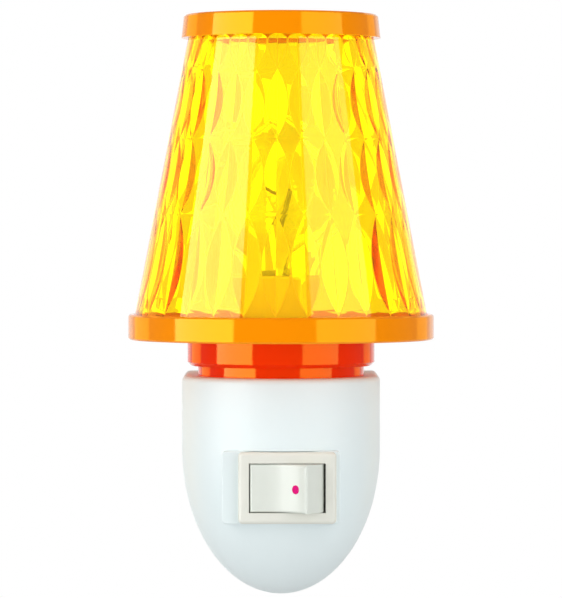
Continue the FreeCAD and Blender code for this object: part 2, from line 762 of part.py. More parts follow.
def neck_collar():
    """Plain orange neck under the wide ring, which slips over the spigot."""
    inner = neck_radius - neck_wall
    return turned([(inner, collar_top), (neck_radius - neck_edge, collar_top),
                   (neck_radius, collar_top + neck_edge), (neck_radius, neck_top), (inner, neck_top)])


def bottom_ring():
    """Shallow dish: a floor with a wide hole for the holder and a low rim round the shade."""
    rim = ring_radius - ring_rim
    return turned([(ring_hole, neck_top), (ring_radius - ring_edge, neck_top),
                   (ring_radius, neck_top + ring_edge), (ring_radius, ring_top - ring_edge),
                   (ring_radius - ring_edge, ring_top), (rim, ring_top),
                   (rim, shade_base), (ring_hole, shade_base)])


def shade_radius(height):
    """Outer radius of the shade at a height, straight from foot to top."""
    return shade_foot_radius - taper * (height - ring_top)


def wall_inside(height):
    """Radius at which the corners of the shade's many-sided inside stand at a height."""
    return shade_radius(height) - shade_wall


def ridge(low, high):
    """Sliver of a V-edged wheel that stands out of the front column's wall from tip to tip.
    The wheel's edge is the crest, and its two cones are the flanks that fall to the fields."""
    corner = math.pi / shade_sides
    lean = math.atan(taper)
    half_chord = ((high - low) / 2 - ridge_land) / math.cos(lean)
    wheel = (half_chord ** 2 + ridge_rise ** 2) / (2 * ridge_rise)
    middle = ring_top + (low + high) / 2
    foot = wall_inside(middle) * math.sin(corner) - ridge_land
    side = foot * math.cos(corner) + ridge_land / 2
    drop = side * (ridge_rise - foot * math.sin(corner)) / (foot * math.cos(corner))
    sunk = wheel - ridge_rise - ridge_sunk
    profile = lines([(0, wheel, 0), (side, wheel - drop, 0), (side, sunk, 0), (-side, sunk, 0),
                     (-side, wheel - drop, 0)])
    sweep = math.degrees(math.asin(half_chord / wheel)) * ridge_overrun
    sliver = Part.Face(profile).revolve(vec(0, 0, 0), vec(1, 0, 0), 2 * sweep)
    sliver.rotate(vec(0, 0, 0), vec(1, 0, 0), -sweep - math.degrees(lean))
    inward = ridge_rise - wheel
    sliver.translate(vec(0, axis_y - wall_inside(middle) + inward * math.cos(lean),
                         middle - inward * math.sin(lean)))
    return sliver


def shade_cone():
    """Tapered transparent shade, round outside, with rows of ridges on a many-sided inside."""
    high = shade_top + shade_spigot
    spigot = shade_radius(shade_top) - spigot_step
    outside = turned([(0, shade_base), (shade_foot_radius, shade_base), (shade_foot_radius, ring_top),
                      (shade_radius(shade_top), shade_top), (spigot, shade_top), (spigot, high), (0, high)])
    step = 360 / shade_sides
    wires = []
    for height in (shade_base - through, high + through):
        radius = wall_inside(height)
        corners = [math.radians(shade_turn + i * step) for i in range(shade_sides)]
        wires.append(lines([(radius * math.sin(corner), axis_y - radius * math.cos(corner), height)
                            for corner in corners]))
    wall = outside.cut(Part.makeLoft(wires, True, True))
    above = box((-shade_foot_radius, axis_y - shade_foot_radius, shade_top),
                (shade_foot_radius, axis_y + shade_foot_radius, shade_top + shade_height))
    column = [ridge(low, high).cut(above) for low, high in zip(ridge_rows, ridge_rows[1:])]
    ridges = [turn(sliver, LAMP_AXIS, shade_turn + i * step)
              for i in range(shade_sides) for sliver in column]
    return wall.fuse(ridges)


def top_ring():
    """Orange cap ring over the shade's top edge, with an inner lip and an open middle."""
    spigot = shade_radius(shade_top) - spigot_step + fit_gap
    top = shade_top + top_ring_height
    seat = shade_top + shade_spigot
    return turned([(spigot, shade_top), (top_ring_foot, shade_top), (top_ring_top, top - top_ring_edge),
                   (top_ring_top - top_ring_edge, top), (top_ring_opening, top), (top_ring_opening, seat),
                   (spigot, seat)])


def cover_screws():
    """Three screws through the back cover into the posts of the front shell."""
    screws = []
    for x, z in screw_places():
        top = cover_back + screw_head_height
        shank = rod(screw_radius, (x, shell_back - screw_bite, z), (x, cover_back + seat_gap, z))
        head = rod(screw_head_radius, (x, cover_back, z), (x, top, z))
        slot = box((x - screw_head_radius, top - screw_slot, z - screw_slot / 2),
                   (x + screw_head_radius, top + through, z + screw_slot / 2))
        screws.append(shank.fuse(head).cut(slot).removeSplitter())
    return Part.makeCompound(screws)


def wire(name, points):
    """Insulated wire along straight runs joined by tangent arcs as large as the runs allow."""
    route = [vec(*point) for point in points]
    edges = []
    start = route[0]
    radii = []
    for before, corner, after in zip(route, route[1:], route[2:]):
        back = before - corner
        ahead = after - corner
        shorter = min(back.Length, ahead.Length)
        half_turn = (math.pi - back.getAngle(ahead)) / 2
        reach = wire_bend * shorter
        radii.append(reach / math.tan(half_turn))
        back.normalize()
        ahead.normalize()
        first = corner + back * reach
        last = corner + ahead * reach
        bisector = back + ahead
        bisector.normalize()
        middle = corner + bisector * (radii[-1] / math.cos(half_turn) - radii[-1])
        edges += [Part.makeLine(start, first), Part.Arc(first, middle, last).toShape()]
        start = last
    edges.append(Part.makeLine(start, route[-1]))
    path = Part.Wire(edges)
    direction = route[1] - route[0]
    section = Part.Wire([Part.makeCircle(wire_radius, route[0], direction)])
    tube = path.makePipeShell([section], True, False)
    ideal = math.pi * wire_radius ** 2 * path.Length
    print(name, "radii", [round(radius, 1) for radius in radii],
          "volume ratio", round(tube.Volume / ideal, 4))
    return tube


def wires():
    """The three leads inside the housing, each from one metal tab to the next."""
    tail_y = shell_back - blade_thick
    tail_x = blade_pitch / 2 + tail_length * wire_on_tail
    tab_y = switch_back + tab_length
    socket_y = axis_y + socket_bore + socket_wall / 2
    contact_y = axis_y - contact_back + contact_strip / 2
    return {
        "live_wire": wire("live_wire", [
            (-tail_x, tail_y, 0), (-tail_x, tail_y - wire_lead, 0),
            (-tail_x + wire_step, tail_y - wire_lead - wire_sag, -wire_step),
            (common_x() - wire_step, tab_y + wire_lead + wire_sag, -wire_sag),
            (common_x(), tab_y + wire_sag, switch_z), (common_x(), tab_y, switch_z)]),
        "switched_wire": wire("switched_wire", [
            (load_x(), tab_y, switch_z), (load_x(), tab_y + wire_step, switch_z),
            (load_x() + wire_step / 2, tab_y + wire_lead, wire_sag),
            (0, contact_y, wire_height), (0, contact_y, tail_z)]),
        "neutral_wire": wire("neutral_wire", [
            (tail_x, tail_y, 0), (tail_x, tail_y - wire_lead, 0),
            (tail_x - wire_step, tail_y - wire_lead - wire_sag, wire_lead),
            (0, socket_y, wire_height), (0, socket_y, tail_z)]),
    }


parts = {
    "front_shell": front_shell(),
    "rear_cover": rear_cover(),
    "live_blade": blade(-1, live_width),
    "neutral_blade": blade(1, neutral_width),
    "cover_screws": cover_screws(),
    "switch_body": switch_body(),
    "rocker": rocker(),
    "plunger": plunger(),
    "plunger_spring": plunger_spring(),
    "contact_lever": contact_lever(),
    "common_terminal": common_terminal(),
    "load_terminal": load_terminal(),
    "socket_collar": socket_collar(),
    "lamp_holder": lamp_holder(),
    "holder_screws": holder_screws(),
    "socket_washer": socket_washer(),
    "socket_contact": socket_contact(),
    "socket_shell": socket_shell(),
    "bulb_glass": bulb_glass(),
    "bulb_shell": bulb_shell(),
    "bulb_insulator": bulb_insulator(),
    "bulb_tip": bulb_tip(),
    "bulb_stem": bulb_stem(),
    "bulb_leads": bulb_leads(),
    "filament": filament(),
    "neck_collar": neck_collar(),
    "bottom_ring": bottom_ring(),
    "shade_cone": shade_cone(),
    "top_ring": top_ring(),
}
parts.update(wires())

os.makedirs("parts", exist_ok=True)
for name, shape in parts.items():
    bounds = shape.BoundBox
    print(f"{name:16} valid {shape.isValid()} solids {len(shape.Solids)} volume {shape.Volume:9.2f}",
          f"x {bounds.XMin:.2f} {bounds.XMax:.2f} y {bounds.YMin:.2f} {bounds.YMax:.2f}",
          f"z {bounds.ZMin:.2f} {bounds.ZMax:.2f}")
    shape.exportStep(f"parts/{name}.step")
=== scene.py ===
import math

import bpy
import numpy as np
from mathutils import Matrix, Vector


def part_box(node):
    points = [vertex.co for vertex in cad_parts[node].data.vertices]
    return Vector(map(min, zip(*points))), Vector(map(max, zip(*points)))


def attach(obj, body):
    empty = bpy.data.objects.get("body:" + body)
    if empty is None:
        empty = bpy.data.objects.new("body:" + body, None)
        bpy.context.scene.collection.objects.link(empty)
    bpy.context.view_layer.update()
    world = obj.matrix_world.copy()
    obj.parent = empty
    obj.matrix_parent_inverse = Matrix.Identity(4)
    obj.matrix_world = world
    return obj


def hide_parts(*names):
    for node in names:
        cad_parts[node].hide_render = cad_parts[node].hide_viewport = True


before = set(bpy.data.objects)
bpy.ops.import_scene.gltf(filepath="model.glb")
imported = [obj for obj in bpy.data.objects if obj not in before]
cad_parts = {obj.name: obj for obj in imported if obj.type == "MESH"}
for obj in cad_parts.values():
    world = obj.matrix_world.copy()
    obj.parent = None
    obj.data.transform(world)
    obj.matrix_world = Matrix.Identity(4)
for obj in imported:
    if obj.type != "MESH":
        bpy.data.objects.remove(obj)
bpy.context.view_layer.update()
scene = bpy.context.scene

# Camera: a long lens almost level with the middle of the shade, looking along +Y and a
# little downwards, as in the photograph.
shade_low, shade_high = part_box("shade_cone")
lamp_y = (shade_low.y + shade_high.y) / 2
camera_data = bpy.data.cameras.new("camera")
camera_data.lens = 219.7
camera_data.sensor_width = 36.0
camera_data.clip_end = 20.0
camera = bpy.data.objects.new("camera", camera_data)
scene.collection.objects.link(camera)
camera.location = (0.0, lamp_y - 0.800, 0.0567)
aim = Vector((0.0, lamp_y, 0.0396))
camera.rotation_euler = (aim - camera.location).to_track_quat("-Z", "Y").to_euler()
scene.camera = camera
scene.view_settings.view_transform = "Standard"


# Lamps: two upright softboxes beside the camera with a weak fill between them, two warm
# strips that gleam along the edges, and two strips behind that shine through the shade's
# prisms. Azimuths are from the camera's side, to the right.
def softbox(name, low, high, height, reach, lift=0.0, soft=0.0, mirrored=0.0, through=0.0,
            color=(1, 1, 1)):
    """A flat lamp that faces the shade from a distance and fills the azimuths from low to high
    degrees. It has a radiance for what it lights, one for its image in gloss and one for what
    is seen of it through plastic. Each stands 20 mm behind the next, or it would hide it."""
    middle = math.radians((low + high) / 2)
    width = 2 * reach * math.tan(math.radians((high - low) / 2))
    target = Vector((0.0, lamp_y, 0.05))
    away = Vector((math.sin(middle), -math.cos(middle), lift / reach))
    layers = (("light", soft, 0.04), ("mirrored", mirrored, 0.02), ("through", through, 0.0))
    for part, radiance, gap in layers:
        if not radiance:
            continue
        place = target + (reach + gap) * away
        lamp = bpy.data.lights.new(f"{name}_{part}", "AREA")
        lamp.color = color
        lamp.shape = "RECTANGLE"
        lamp.size = width
        lamp.size_y = height
        lamp.energy = radiance * width * height * math.pi
        holder = bpy.data.objects.new(f"{name}_{part}", lamp)
        scene.collection.objects.link(holder)
        holder.location = place
        holder.rotation_euler = (target - place).to_track_quat("-Z", "Y").to_euler()
        holder.visible_camera = False
        holder.visible_diffuse = part == "light"
        holder.visible_glossy = part == "mirrored"
        holder.visible_transmission = part == "through"


warm = (1.0, 0.52, 0.05)
softbox("left_softbox", -87, -33, 1.6, 1.0, lift=0.25, soft=1.95, mirrored=5.0, through=2.0)
softbox("right_softbox", 24, 76, 1.6, 1.0, lift=0.25, soft=1.70, mirrored=2.4, through=1.5)
softbox("left_edge", -142, -116, 1.6, 1.1, mirrored=1.8, color=warm)
softbox("right_edge", 122, 142, 1.6, 1.1, mirrored=1.2, color=warm)
softbox("front_fill", -22, 22, 0.8, 1.0, soft=0.3)
softbox("left_strip", -172, -148, 2.0, 1.2, soft=0.8, through=1.35)
softbox("right_strip", 148, 172, 2.0, 1.2, soft=0.8, through=1.35)

# Light turns back many times inside the shade's prisms, and black patches show without these.
scene.cycles.max_bounces = 24
scene.cycles.glossy_bounces = 16
scene.cycles.transmission_bounces = 24
scene.cycles.transparent_max_bounces = 32


# World: a grey room, darkest at its sides and white behind the object. The camera and clear
# plastic see plain white all round in its place, as in a product photograph.
def world_light():
    """Strength by the direction's Y, which a ramp takes from -1, behind the camera, to 1."""
    world = bpy.data.worlds.new("studio")
    scene.world = world
    world.use_nodes = True
    tree = world.node_tree
    tree.nodes.clear()
    output = tree.nodes.new("ShaderNodeOutputWorld")
    seen = tree.nodes.new("ShaderNodeBackground")
    room = tree.nodes.new("ShaderNodeBackground")
    mix = tree.nodes.new("ShaderNodeMixShader")
    path = tree.nodes.new("ShaderNodeLightPath")
    through = tree.nodes.new("ShaderNodeMath")
    coords = tree.nodes.new("ShaderNodeTexCoord")
    split = tree.nodes.new("ShaderNodeSeparateXYZ")
    level = tree.nodes.new("ShaderNodeMapRange")
    ramp = tree.nodes.new("ShaderNodeValToRGB")
    seen.inputs["Color"].default_value = (1, 1, 1, 1)
    level.inputs["From Min"].default_value = -1.0
    level.inputs["From Max"].default_value = 1.0
    steps = ramp.color_ramp.elements
    places = ((0.0, 0.4), (0.09, 0.4), (0.28, 0.25), (0.88, 0.25), (0.94, 1.0), (1.0, 1.0))
    for count, (place, strength) in enumerate(places):
        step = steps[count] if count < 2 else steps.new(place)
        step.position = place
        step.color = (strength, strength, strength, 1)
    through.operation = "MAXIMUM"
    tree.links.new(coords.outputs["Generated"], split.inputs[0])
    tree.links.new(split.outputs["Y"], level.inputs["Value"])
    tree.links.new(level.outputs["Result"], ramp.inputs["Fac"])
    tree.links.new(ramp.outputs["Color"], room.inputs["Color"])
    tree.links.new(path.outputs["Is Transmission Ray"], through.inputs[0])
    tree.links.new(path.outputs["Is Camera Ray"], through.inputs[1])
    tree.links.new(through.outputs[0], mix.inputs["Fac"])
    tree.links.new(room.outputs[0], mix.inputs[1])
    tree.links.new(seen.outputs[0], mix.inputs[2])
    tree.links.new(mix.outputs[0], output.inputs["Surface"])


world_light()


# Shade: one moulding of clear yellow plastic, smooth outside, pressed between two rings.
# Inside, pointed ridges stand in 28 columns and four rows on flat fields, each with one crest
# from tip to tip. The cap ring covers the last row's upper ends.
def shade_outside(height):
    """Outer radius: straight foot inside the ring, straight taper, and a step into the cap."""
    radius = shade_foot - shade_taper * np.maximum(height - ring_top, 0)
    return np.where(height > cap_foot, radius - spigot_step, radius)


def ridge_share(height):
    """Rise of a ridge at a height as a share of its greatest: 1 - u^2, u from -1 to 1 between
    its tips. The last row's is rounded off under the cap by a quarter ellipse."""
    above = height - ring_top
    share = np.zeros_like(height)
    for low, high in zip(ridge_rows[:-1], ridge_rows[1:]):
        middle, half = (low + high) / 2, (high - low) / 2 - ridge_land
        share = np.maximum(share, 1 - ((above - middle) / half) ** 2)
    turn = cap_foot - ring_top - scallop
    drop = np.clip((above - turn) / scallop, 0, 1)
    return np.clip(share, 0, 1) * np.sqrt(1 - drop ** 2)


def shade_sections():
    """Heights of the sections: even steps between the rows' lines, with a fine pair at each."""
    marks = list(ring_top + ridge_rows[:-1]) + [cap_foot - scallop]
    heights = [np.linspace(shade_low.z, ring_top - line_half, 5)]
    for low, high in zip(marks[:-1], marks[1:]):
        steps = max(2, int(round((high - low) / section_step)))
        heights.append(np.linspace(low + line_half, high - line_half, steps))
        heights.append(np.array([high]))
    turn = np.linspace(0, math.pi / 2, 14)[1:]
    heights.append(cap_foot - scallop * (1 - np.sin(turn)))
    heights.append(np.array([cap_foot + line_half, shade_high.z]))
    return np.concatenate([heights[0], [ring_top], *heights[1:]])


def shade_inside(height):
    """Points, section by section. At a distance across from a crest the wall stands inward by
    rise*share - across*fall on the ridge's flank, and by across*tan(corner) on the flat field.
    A column goes from its crest down the flank, over the foot to the field's middle, and on
    through the same points mirrored. Crest and foot are narrow strips, because no moulded edge
    is sharp."""
    corner = math.pi / shade_columns
    radius = shade_outside(np.minimum(height, cap_foot)) - shade_wall
    radius = radius - shade_taper * np.maximum(height - cap_foot, 0)
    line = np.isin(height, ring_top + ridge_rows) * line_rise
    share = ridge_share(height)
    full = radius * math.sin(corner) - ridge_land
    rise = np.where(height > ring_top + ridge_rows[-2], last_rise, ridge_rise)
    foot = np.maximum(full * share, least_foot)
    edge, toe = np.minimum(crest_half, foot / 3), np.minimum(toe_half, foot / 3)
    fall = (rise - full * math.sin(corner)) / (full * math.cos(corner))
    middle = radius * math.sin(corner) * math.cos(corner)
    angles, radii = [], []
    for column in range(shade_columns):
        crest = shade_turn + 2 * corner * column
        for side, order in ((1, (0, 1, 2, 3)), (-1, (2, 1, 0))):
            start = crest if side == 1 else crest + 2 * corner
            for place in order:
                across = (edge, foot - toe, foot + toe, middle)[place]
                ridge = rise * share - across * fall
                inward = np.maximum(ridge, across * math.tan(corner)) + line
                angles.append(start + side * np.arctan2(across, radius - inward))
                radii.append(np.hypot(across, radius - inward))
    angles, radii = np.array(angles).T, np.array(radii).T
    return np.stack([radii * np.sin(angles), lamp_y - radii * np.cos(angles),
                     np.repeat(height[:, None], angles.shape[1], 1)], -1)


def ring_faces(rows, columns):
    """Quads between rows of points that close on themselves."""
    here = np.arange(rows - 1)[:, None] * columns + np.arange(columns)
    right = np.arange(rows - 1)[:, None] * columns + (np.arange(columns) + 1) % columns
    return np.stack([here, right, right + columns, here + columns], -1).reshape(-1, 4)


def link_mesh(name, points, faces):
    """A smooth mesh object at the origin from points in metres and an array or list of faces."""
    mesh = bpy.data.meshes.new(name)
    corners = faces.tolist() if isinstance(faces, np.ndarray) else faces
    mesh.from_pydata(np.asarray(points, float).tolist(), [], corners)
    mesh.update(calc_edges=True)
    mesh.polygons.foreach_set("use_smooth", np.full(len(mesh.polygons), True))
    piece = bpy.data.objects.new(name, mesh)
    scene.collection.objects.link(piece)
    return piece


def mark_sharp(piece, degrees):
    """Makes the edges sharp at which two faces meet at more than an angle."""
    mesh = piece.data
    normals = np.empty(len(mesh.polygons) * 3)
    mesh.polygons.foreach_get("normal", normals)
    edges = np.empty(len(mesh.loops), int)
    mesh.loops.foreach_get("edge_index", edges)
    sizes = np.empty(len(mesh.polygons), int)
    mesh.polygons.foreach_get("loop_total", sizes)
    owners = np.repeat(np.arange(len(sizes)), sizes)
    order = np.argsort(edges, kind="stable")
    pairs = np.flatnonzero(edges[order][1:] == edges[order][:-1])
    first, second = owners[order][pairs], owners[order][pairs + 1]
    normals = normals.reshape(-1, 3)
    turned = (normals[first] * normals[second]).sum(1) < math.cos(math.radians(degrees))
    sharp = np.zeros(len(mesh.edges), bool)
    sharp[edges[order][pairs][turned]] = True
    mesh.attributes.new("sharp_edge", "BOOLEAN", "EDGE").data.foreach_set("value", sharp)


def clear_plastic(name, color, outline_shade_color, tint, passing, absorb, density):
    """Tinted clear plastic: colour at the surface, and more of it the longer light runs inside.
    Faces with the attribute edge at 1, its moulded edges, are duller, and their colour is painted
    shade: outline_shade_color, a darker amber that stands in for the dark lines refraction draws
    along rounded edges. Lamps shine through it with the colour that passes a face."""
    material = bpy.data.materials.new(name)
    material.use_nodes = True
    tree = material.node_tree
    shader = tree.nodes["Principled BSDF"]
    output = tree.nodes["Material Output"]
    edge = tree.nodes.new("ShaderNodeAttribute")
    edge.attribute_name = "edge"
    hue = tree.nodes.new("ShaderNodeMix")
    hue.data_type = "RGBA"
    hue.inputs["A"].default_value = (*color, 1)
    hue.inputs["B"].default_value = (*outline_shade_color, 1)
    dull = tree.nodes.new("ShaderNodeMath")
    dull.operation = "MULTIPLY"
    dull.inputs[1].default_value = 0.45
    tree.links.new(edge.outputs["Fac"], hue.inputs["Factor"])
    tree.links.new(edge.outputs["Fac"], dull.inputs[0])
    tree.links.new(hue.outputs["Result"], shader.inputs["Base Color"])
    tree.links.new(dull.outputs[0], shader.inputs["Roughness"])
    shader.inputs["Transmission Weight"].default_value = 0.97
    shader.inputs["IOR"].default_value = 1.49
    shader.inputs["Specular IOR Level"].default_value = 1.0
    shader.inputs["Specular Tint"].default_value = (*tint, 1)
    lit = tree.nodes.new("ShaderNodeBsdfTransparent")
    lit.inputs["Color"].default_value = (*passing, 1)
    path = tree.nodes.new("ShaderNodeLightPath")
    mix = tree.nodes.new("ShaderNodeMixShader")
    tree.links.new(path.outputs["Is Shadow Ray"], mix.inputs["Fac"])
    tree.links.new(shader.outputs[0], mix.inputs[1])
    tree.links.new(lit.outputs[0], mix.inputs[2])
    tree.links.new(mix.outputs[0], output.inputs["Surface"])
    volume = tree.nodes.new("ShaderNodeVolumeAbsorption")
    volume.inputs["Color"].default_value = (*absorb, 1)
    volume.inputs["Density"].default_value = density
    tree.links.new(volume.outputs[0], output.inputs["Volume"])
    return material


shade_columns = 28
shade_turn = math.radians(-2.2)
shade_wall = 0.0020
shade_top = 0.02035         # outer radius under the cap
spigot_step = 0.00035       # the end inside the cap is this much smaller
ridge_rows = np.array([0.0, 0.0217, 0.0380, 0.0529, 0.0647])    # tips above the wide ring
ridge_rise = 0.00085        # crest above the fields at a ridge's middle
last_rise = 0.0004          # and in the last row
ridge_land = 0.00012        # flat land round a ridge
scallop = 0.0012            # height of the round ends under the cap
section_step = 0.0006
line_half = 0.00008         # half height of the fine line between two rows
line_rise = 0.00001
crest_half = 0.00007        # half widths of the narrow strips along crest and foot
toe_half = 0.00009
least_foot = 0.00006        # a ridge keeps this half width at its tips
ring_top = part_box("bottom_ring")[1].z
cap_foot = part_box("top_ring")[0].z
shade_foot = shade_high.x
shade_taper = (shade_foot - shade_top) / (cap_foot - ring_top)

sections = shade_sections()
inside = shade_inside(sections)
rows, columns = inside.shape[:2]
around = shade_turn + 2 * math.pi * (np.arange(columns) + 0.5) / columns
outer = shade_outside(sections)[:, None]
outside = np.stack([outer * np.sin(around), lamp_y - outer * np.cos(around),
                    np.repeat(sections[:, None], columns, 1)], -1)
shade_points = np.concatenate([outside, inside[::-1]]).reshape(-1, 3)
foot_ring = np.arange(columns)
end_ring = (2 * rows - 1) * columns
foot_faces = np.stack([end_ring + foot_ring, end_ring + (foot_ring + 1) % columns,
                       (foot_ring + 1) % columns, foot_ring], -1)
shade_faces = np.concatenate([ring_faces(2 * rows, columns), foot_faces])
shade = link_mesh("shade", shade_points, shade_faces)
mark_sharp(shade, 7)

# Of the seven faces across a column, 1 and 4 run along the ridge's feet and 6 along the crest.
strip = np.zeros((2 * rows, columns))
strip[rows:, [place for place in range(columns) if place % 7 in (1, 4, 6)]] = 1
shade.data.attributes.new("edge", "FLOAT", "FACE").data.foreach_set("value", strip.reshape(-1))
# The crest and foot strips get a darker amber, painted shade in place of the dark lines that
# refraction draws along them.
shade_plastic = clear_plastic("shade_plastic", (1.0, 0.985, 0.05), outline_shade_color=(1.0, 0.72, 0.04),
                              tint=(1.0, 0.95, 0.5), passing=(1.0, 0.93, 0.3),
                              absorb=(0.998, 0.93, 0.1), density=1000.0)
shade.data.materials.append(shade_plastic)
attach(shade, "shade")
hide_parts("shade_cone")


# Rings: the wide ring that the shade's foot stands in and the narrow one over its top, both
# moulded in glossy orange plastic and pressed onto the shade.
def moulded(name, color, roughness, specular, flow, grain, tint=(1.0, 1.0, 1.0)):
    """Moulded plastic. Its colour varies by the share flow, with a noise about 8 mm wide as the
    melt flowed, and a noise about 0.4 mm wide dulls and roughens it by grain. Its highlights
    have the tint."""
    material = bpy.data.materials.new(name)
    material.use_nodes = True
    tree = material.node_tree
    shader = tree.nodes["Principled BSDF"]
    shader.inputs["Specular IOR Level"].default_value = specular
    shader.inputs["Specular Tint"].default_value = (*tint, 1)
    shader.inputs["IOR"].default_value = 1.5
    coords = tree.nodes.new("ShaderNodeTexCoord")
    melt = tree.nodes.new("ShaderNodeTexNoise")
    melt.inputs["Scale"].default_value = 120.0
    melt.inputs["Detail"].default_value = 2.0
    fine = tree.nodes.new("ShaderNodeTexNoise")
    fine.inputs["Scale"].default_value = 2500.0
    fine.inputs["Detail"].default_value = 3.0
    hue = tree.nodes.new("ShaderNodeMix")
    hue.data_type = "RGBA"
    hue.inputs["A"].default_value = (*[part * (1 - flow) for part in color], 1)
    hue.inputs["B"].default_value = (*[min(1, part * (1 + flow)) for part in color], 1)
    gloss = tree.nodes.new("ShaderNodeMapRange")
    gloss.inputs["To Min"].default_value = roughness * 0.85
    gloss.inputs["To Max"].default_value = roughness * 1.15
    relief = tree.nodes.new("ShaderNodeBump")
    relief.inputs["Strength"].default_value = grain
    relief.inputs["Distance"].default_value = 0.00005
    tree.links.new(coords.outputs["Object"], melt.inputs["Vector"])
    tree.links.new(coords.outputs["Object"], fine.inputs["Vector"])
    tree.links.new(melt.outputs["Fac"], hue.inputs["Factor"])
    tree.links.new(fine.outputs["Fac"], gloss.inputs["Value"])
    tree.links.new(fine.outputs["Fac"], relief.inputs["Height"])
    tree.links.new(hue.outputs["Result"], shader.inputs["Base Color"])
    tree.links.new(gloss.outputs["Result"], shader.inputs["Roughness"])
    tree.links.new(relief.outputs["Normal"], shader.inputs["Normal"])
    return material


def dress(material, *nodes):
    """Gives CAD nodes their finish."""
    for node in nodes:
        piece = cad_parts[node]
        piece.data.materials.clear()
        piece.data.materials.append(material)


ring_plastic = moulded("ring_plastic", (1.0, 0.27, 0.0), 0.08, 1.0, 0.02, 0.05,
                       tint=(1.0, 0.85, 0.05))
dress(ring_plastic, "bottom_ring", "top_ring")

# Neck: the plain collar under the wide ring, which slips over the socket's own collar on the
# housing. Both are moulded in a glossy red orange plastic.
neck_plastic = moulded("neck_plastic", (1.0, 0.022, 0.0), 0.08, 1.0, 0.02, 0.05,
                       tint=(1.0, 0.6, 0.06))
dress(neck_plastic, "neck_collar", "socket_collar")

# Lamp holder: a tube moulded in pale yellow plastic, screwed down inside the neck. Through
# the shade it looks amber.
holder_plastic = moulded("holder_plastic", (0.80, 0.73, 0.12), 0.3, 0.5, 0.03, 0.1)
dress(holder_plastic, "lamp_holder")


# Screw shell, contacts and terminals: stamped from sheet brass and left bare. The sheet's
# rolling shows as fine lines.
def metal(name, color, roughness, lines, dull):
    """Bare or plated metal. A noise stretched along Z shows drawing lines in its roughness and
    relief, and a wide noise darkens it towards dull where hands or heat have touched it."""
    material = bpy.data.materials.new(name)
    material.use_nodes = True
    tree = material.node_tree
    shader = tree.nodes["Principled BSDF"]
    shader.inputs["Metallic"].default_value = 1.0
    coords = tree.nodes.new("ShaderNodeTexCoord")
    stretch = tree.nodes.new("ShaderNodeMapping")
    stretch.inputs["Scale"].default_value = (3000.0, 3000.0, 250.0)
    drawn = tree.nodes.new("ShaderNodeTexNoise")
    drawn.inputs["Scale"].default_value = 1.0
    drawn.inputs["Detail"].default_value = 2.0
    stain = tree.nodes.new("ShaderNodeTexNoise")
    stain.inputs["Scale"].default_value = 300.0
    stain.inputs["Detail"].default_value = 3.0
    hue = tree.nodes.new("ShaderNodeMix")
    hue.data_type = "RGBA"
    hue.inputs["A"].default_value = (*color, 1)
    hue.inputs["B"].default_value = (*[part * dull for part in color], 1)
    gloss = tree.nodes.new("ShaderNodeMapRange")
    gloss.inputs["To Min"].default_value = roughness * 0.7
    gloss.inputs["To Max"].default_value = roughness * 1.3
    relief = tree.nodes.new("ShaderNodeBump")
    relief.inputs["Strength"].default_value = lines
    relief.inputs["Distance"].default_value = 0.00003
    tree.links.new(coords.outputs["Object"], stretch.inputs["Vector"])
    tree.links.new(stretch.outputs["Vector"], drawn.inputs["Vector"])
    tree.links.new(coords.outputs["Object"], stain.inputs["Vector"])
    tree.links.new(stain.outputs["Fac"], hue.inputs["Factor"])
    tree.links.new(drawn.outputs["Fac"], gloss.inputs["Value"])
    tree.links.new(drawn.outputs["Fac"], relief.inputs["Height"])
    tree.links.new(hue.outputs["Result"], shader.inputs["Base Color"])
    tree.links.new(gloss.outputs["Result"], shader.inputs["Roughness"])
    tree.links.new(relief.outputs["Normal"], shader.inputs["Normal"])
    return material


brass = metal("brass", (0.78, 0.56, 0.26), 0.3, 0.15, 0.75)
dress(brass, "socket_shell", "socket_contact", "common_terminal", "load_terminal", "contact_lever")

# Washer: a disc under the socket, punched from a sheet of grey-brown vulcanised fibre, with
# a slot for the centre contact's tail.
dress(moulded("fibre", (0.20, 0.12, 0.07), 0.8, 0.3, 0.25, 0.4), "socket_washer")

# Screws and the plunger's spring: zinc plated steel. Three screws hold the rear cover from
# behind and two hold the lamp holder, and the spring pushes the plunger out of the rocker.
steel = metal("steel", (0.62, 0.62, 0.64), 0.28, 0.15, 0.85)
dress(steel, "cover_screws", "holder_screws", "plunger_spring")


# Bulb: a clear glass envelope in the shape of a candle flame, blown, and sealed to a flared
# glass stem.
def clear_glass(name, color):
    """Clear glass. A noise about 3 mm wide blurs it by a hair, as in blown glass, and lamps
    shine through it."""
    material = bpy.data.materials.new(name)
    material.use_nodes = True
    tree = material.node_tree
    shader = tree.nodes["Principled BSDF"]
    shader.inputs["Base Color"].default_value = (*color, 1)
    shader.inputs["Transmission Weight"].default_value = 1.0
    shader.inputs["IOR"].default_value = 1.5
    coords = tree.nodes.new("ShaderNodeTexCoord")
    blown = tree.nodes.new("ShaderNodeTexNoise")
    blown.inputs["Scale"].default_value = 300.0
    haze = tree.nodes.new("ShaderNodeMapRange")
    haze.inputs["From Min"].default_value = 0.45
    haze.inputs["To Max"].default_value = 0.03
    lit = tree.nodes.new("ShaderNodeBsdfTransparent")
    path = tree.nodes.new("ShaderNodeLightPath")
    mix = tree.nodes.new("ShaderNodeMixShader")
    tree.links.new(coords.outputs["Object"], blown.inputs["Vector"])
    tree.links.new(blown.outputs["Fac"], haze.inputs["Value"])
    tree.links.new(haze.outputs["Result"], shader.inputs["Roughness"])
    tree.links.new(path.outputs["Is Shadow Ray"], mix.inputs["Fac"])
    tree.links.new(shader.outputs[0], mix.inputs[1])
    tree.links.new(lit.outputs[0], mix.inputs[2])
    tree.links.new(mix.outputs[0], tree.nodes["Material Output"].inputs["Surface"])
    return material


dress(clear_glass("bulb_clear_glass", (0.985, 0.99, 0.99)), "bulb_glass", "bulb_stem")

